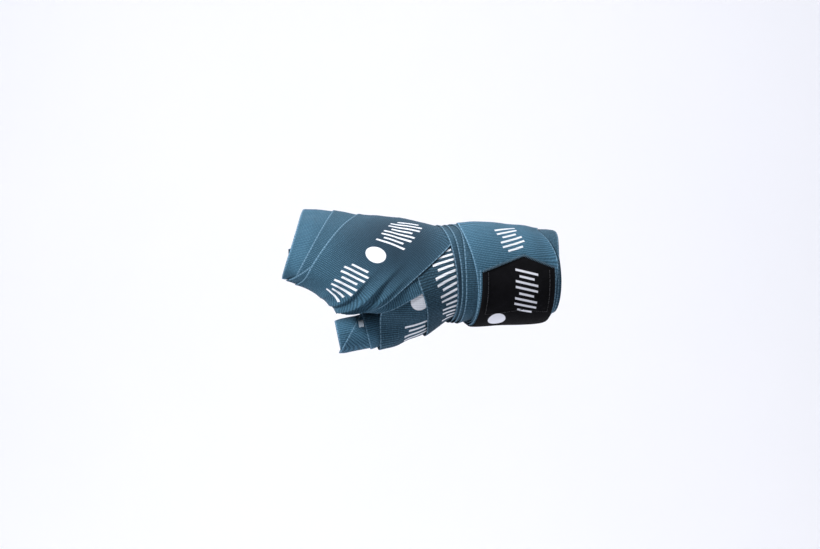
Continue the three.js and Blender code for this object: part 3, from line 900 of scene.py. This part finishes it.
def above_fold(inset):
    """As pointed, but starting just above the fold."""

    def ends(ring, v):
        _, stops = pointed(inset)(ring, v)
        over = ring[FOLD_FROM:FOLD_TO] @ fold_normal()
        starts = FOLD_FROM + np.argmax(over < ABOVE_FOLD, axis=0)
        return starts.astype(float), stops

    return ends


def landing_ends(ring, v):
    """The landing's ends: level under the wrist, and inside the slopes of the tab."""
    _, stops = pointed(LANDING_INSET)(ring, v)
    return np.full(len(v), UNDER_WRIST), stops


piece = turns["loop_landing"].mesh(columns=140, rows=36, thickness=PANEL_THICKNESS, ends=landing_ends)
dress(piece, loop_pile("loop_landing"), "wrap", "loop_pile", "loop_landing")
hook_ends = above_fold(HOOK_INSET)
piece = turns["hook_panel"].mesh(columns=70, rows=36, thickness=PANEL_THICKNESS, ends=hook_ends)
dress(piece, hook_tape(), "closure_flap", "hook", "hook_panel")

for name, slot, nodes in (
    ("closing_strip", "strip", ("closing_tail", "flap_strip_end")),
    ("closing_loop_face", "loop_pile", ("tail_loop_face", "flap_loop_face")),
):
    inset = 0.0 if slot == "strip" else FACE_INSET
    piece = turns[name].mesh(columns=200, thickness=CLOSING_THICKNESS, ends=pointed(inset))
    if slot == "strip":
        dress(piece, cloth(name), None, slot, *nodes)
    else:
        disc, bars = near_mark(turns[name], -38, -27), near_mark(turns[name], -19, -10)
        dress(piece, loop_pile(name, [("disc", *disc, 0), ("bars", *bars, 4)]), None, slot, *nodes)
    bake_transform(piece)


def tube(points, radius, sides=7):
    """Vertices and faces of a round thread along points, with closed ends."""
    points = np.asarray(points, float)
    tangent = np.gradient(points, axis=0)
    tangent /= np.linalg.norm(tangent, axis=1, keepdims=True)
    first = np.cross(tangent, [0.1, 0.2, 1.0])
    first /= np.linalg.norm(first, axis=1, keepdims=True)
    second = np.cross(tangent, first)
    turn = np.arange(sides) / sides * 2 * math.pi
    rings = points[:, None] + radius * (
        np.cos(turn)[None, :, None] * first[:, None] + np.sin(turn)[None, :, None] * second[:, None]
    )
    index = np.arange(len(points) * sides).reshape(len(points), sides)
    following = np.roll(index, -1, axis=1)
    faces = np.stack([index[:-1], following[:-1], following[1:], index[1:]], axis=2).reshape(-1, 4).tolist()
    return rings.reshape(-1, 3), faces + [index[0].tolist(), index[-1].tolist()]


def joined(parts):
    """Several sets of vertices and faces as one."""
    vertices, faces, start = [], [], 0
    for points, own in parts:
        vertices.append(points)
        faces += [[start + i for i in face] for face in own]
        start += len(points)
    return np.concatenate(vertices), faces


def run_along(path):
    """Distance along a path at each of its points."""
    return np.concatenate([[0], np.cumsum(np.linalg.norm(np.diff(path, axis=0), axis=1))])


def points_at(path, lengths, places):
    """Points of a path at given distances along it."""
    return np.stack([np.interp(places, lengths, path[:, i]) for i in range(3)], axis=1)


THREAD_RADIUS = 0.2
LOOPS_PER_MM = 1.0  # of the overlock thread along the tab's edge
POINTS_PER_MM = 14
LOOP_ACROSS, LOOP_OUT = 0.6, 0.4  # how far its loops reach over the edge, and off the cloth
LOOP_LIFT = 0.1

face_points, _, face_v = turns["closing_loop_face"].grid
face = face_points[:, : len(face_v) // 2]
tip = face[-1, 2:-2]
outward = np.array([0.28, -0.96, 0.25])
outward /= np.linalg.norm(outward)
lengths = run_along(tip)
steps = np.linspace(0, lengths[-1], int(lengths[-1] * POINTS_PER_MM))
route = points_at(tip, lengths, steps)
along = np.gradient(route, axis=0)
along /= np.linalg.norm(along, axis=1, keepdims=True)
across = np.cross(along, outward)
phase = steps * LOOPS_PER_MM * 2 * math.pi
over_edge = across * (LOOP_ACROSS * np.cos(phase))[:, None]
off_cloth = outward * (LOOP_LIFT + LOOP_OUT * np.sin(phase))[:, None]
piece = new_object("overlock_edge", *tube(route + over_edge + off_cloth, THREAD_RADIUS))
dress(piece, thread("overlock_thread", "22323E", "4A6678"), "closure_flap", "thread", "overlock_edge")

STITCH = 2.1
STITCH_GAP = 0.7
STITCH_POINTS = 6
STITCH_LIFT, STITCH_ARCH = 0.12, 0.18
STITCH_ABOVE_FOLD = 2.5
STITCH_INSET = 5  # rows of the loop face from its long edges
STITCH_END = 4  # columns of the loop face from its point


def stitches(path):
    """Lock stitches along a path, sunk into the pile."""
    lengths = run_along(path)
    arch = np.sin(np.linspace(0, math.pi, STITCH_POINTS))[:, None]
    parts = []
    for start in np.arange(0, lengths[-1] - STITCH, STITCH + STITCH_GAP):
        points = points_at(path, lengths, start + np.linspace(0, STITCH, STITCH_POINTS))
        parts.append(tube(points + outward * (STITCH_LIFT + STITCH_ARCH * arch), THREAD_RADIUS))
    return parts


fold_side = int(np.argmax(face[:, face.shape[1] // 2] @ fold_normal() > STITCH_ABOVE_FOLD))
left, right = STITCH_INSET, face.shape[1] - 1 - STITCH_INSET
rows = [
    face[fold_side:-STITCH_END, left][::-1],
    face[fold_side, left : right + 1],
    face[fold_side:-STITCH_END, right],
]
piece = new_object("panel_stitching", *joined([part for row in rows for part in stitches(row)]))
dress(piece, thread("panel_thread", "0C0C0F", "26262C"), "closure_flap", "thread", "panel_stitching")

# ---------------------------------------------------------------- small pieces

TACK_AT = 15.5  # from the thumb's opening
TACK_TURN = 0.42  # radians above the thumb's near side
TACK_LONG, TACK_HIGH = 2.6, 4.4
TACK_STITCHES = 7
TACK_POINTS = 9  # along each stitch
TACK_SLANT = 0.12
TACK_LIFT, TACK_ARCH = 0.15, 0.45
TACK_THREAD = 0.26


def bar_tack():
    """Close satin stitches over the folded end of the thumb loop."""
    axis = THUMB_AXIS / np.linalg.norm(THUMB_AXIS)
    near = np.cross(np.cross(axis, [0, -1, 0]), axis)
    near /= np.linalg.norm(near)
    up = np.cross(near, axis)
    up *= np.sign(up[2])
    angle = TACK_TURN + np.linspace(-0.5, 0.5, TACK_POINTS) * TACK_HIGH / THUMB_TUBE
    reach = THUMB_TUBE + TACK_LIFT + TACK_ARCH * np.sin(np.linspace(0, math.pi, TACK_POINTS))
    spread = (np.cos(angle)[:, None] * near + np.sin(angle)[:, None] * up) * reach[:, None]
    slant = np.linspace(-TACK_SLANT, TACK_SLANT, TACK_POINTS)
    parts = []
    for i in range(TACK_STITCHES):
        along = TACK_AT + (i / (TACK_STITCHES - 1) - 0.5) * TACK_LONG + slant * (-1) ** i
        parts.append(tube(THUMB_OPENING + along[:, None] * axis + spread, TACK_THREAD))
    return new_object("thumb_loop_tack", *joined(parts))


dress(bar_tack(), thread("tack_thread", "A9BCCB", "E4EBF1"), "wrap", "thread", "thumb_loop_tack")

PASS_MARGIN = 0.8  # from the CAD box to the band's ends
PASS_COLUMNS, PASS_ROWS = 40, 34
PASS_HALF = 0.4  # half its thickness
PLEAT_HEIGHT = 0.55
PLEAT_TURNS = 2.2  # radians of the pleats' wave over a millimetre
SWAY_TURNS = 7  # radians of its sway over its run
PASS_SWAY = 0.4
PASS_CRUSH = 3.0  # how much closer its yarns lie than on flat cloth


def finger_pass(name):
    """The strip gathered to a narrow pleated band between two fingers."""
    low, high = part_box(name)
    low, high = np.array(low) / MM, np.array(high) / MM
    start = np.array([(low[0] + high[0]) / 2, low[1] + PASS_MARGIN, high[2] - PASS_MARGIN])
    end = np.array([(low[0] + high[0]) / 2, high[1] - PASS_MARGIN, low[2] + PASS_MARGIN])
    width = high[0] - low[0]
    t = np.linspace(0, 1, PASS_COLUMNS)[:, None]
    spine = start * (1 - t) + end * t
    direction = (end - start) / np.linalg.norm(end - start)
    normal = np.cross(direction, [1, 0, 0])
    v = np.linspace(-width / 2, width / 2, PASS_ROWS)
    wave = PLEAT_HEIGHT * np.sin(v * PLEAT_TURNS) * (1 - (np.abs(v) / (width / 2)) ** 4)
    loop = np.concatenate([v, v[::-1]])
    lift = np.concatenate([wave + PASS_HALF, wave[::-1] - PASS_HALF])
    sway = PASS_SWAY * np.sin(t * SWAY_TURNS)
    points = spine[:, None] + loop[None, :, None] * np.array([1, 0, 0])
    points = points + (lift[None, :, None] + sway[:, None]) * normal
    run = np.linalg.norm(end - start)
    u = np.broadcast_to(run * t, (PASS_COLUMNS, len(loop))).copy()
    made = strip_object(name, points, u, loop * PASS_CRUSH)
    return made


for i in (1, 2, 3):
    dress(finger_pass(f"finger_pass_{i}"), cloth(f"finger_pass_{i}"), "wrap", "strip", f"finger_pass_{i}")

# ---------------------------------------------------------------- stage, light and camera

FLOOR_FRONT, FLOOR_Z = -3.0, -0.7
BEND_START, BEND_RADIUS, BEND_STEPS = 1.1, 0.9, 14
WALL_TOP = 3.0
STAGE_HALF = 4.0


def backdrop():
    """A pale floor that rises into a wall behind, in one sweep. Its sizes are in metres."""
    profile = [(FLOOR_FRONT, FLOOR_Z), (BEND_START, FLOOR_Z)]
    for angle in np.linspace(0.1, math.pi / 2, BEND_STEPS):
        rise = BEND_RADIUS * (1 - math.cos(angle))
        profile.append((BEND_START + BEND_RADIUS * math.sin(angle), FLOOR_Z + rise))
    profile.append((BEND_START + BEND_RADIUS, WALL_TOP))
    points = [(x / MM, y / MM, z / MM) for y, z in profile for x in (-STAGE_HALF, STAGE_HALF)]
    faces = [[2 * i, 2 * i + 1, 2 * i + 3, 2 * i + 2] for i in range(len(profile) - 1)]
    made = new_object("backdrop", points, faces)
    shader = Shader("backdrop_paper", roughness=0.9)
    shader.colour(shader.mix(shader.noise(3, 2), linear("F4F5FB"), linear("F8F8FD")))
    made.data.materials.append(shader.material)


def area_light(name, place, target, size, power):
    """A round soft light, in metres and watts, turned to a target."""
    lamp = bpy.data.lights.new(name, "AREA")
    lamp.shape = "DISK"
    lamp.size = size
    lamp.energy = power
    made = bpy.data.objects.new(name, lamp)
    bpy.context.scene.collection.objects.link(made)
    made.location = place
    made.rotation_euler = (Vector(target) - Vector(place)).to_track_quat("-Z", "Y").to_euler()


backdrop()
area_light("key", (-1.15, -0.65, 0.75), (-0.085, -0.02, 0.0), 0.4, 42)
area_light("top", (0.5, -0.05, 1.25), (-0.03, -0.02, 0.0), 0.4, 12)
area_light("wall_wash", (0.0, 0.5, 2.4), (0, 2.0, 0.1), 1.6, 16)
world = bpy.data.worlds.new("studio")
world.use_nodes = True
world.node_tree.nodes["Background"].inputs[0].default_value = (0.93, 0.95, 1.0, 1)
world.node_tree.nodes["Background"].inputs[1].default_value = 0.27
bpy.context.scene.world = world
bpy.context.scene.view_settings.view_transform = "Standard"

camera = bpy.data.objects.new("camera", bpy.data.cameras.new("camera"))
bpy.context.scene.collection.objects.link(camera)
camera.data.lens = 85
camera.data.sensor_width = 36
camera.location = (-0.0919, -1.24, 0.0009)
camera.rotation_euler = (math.pi / 2, 0, 0)
bpy.context.scene.camera = camera
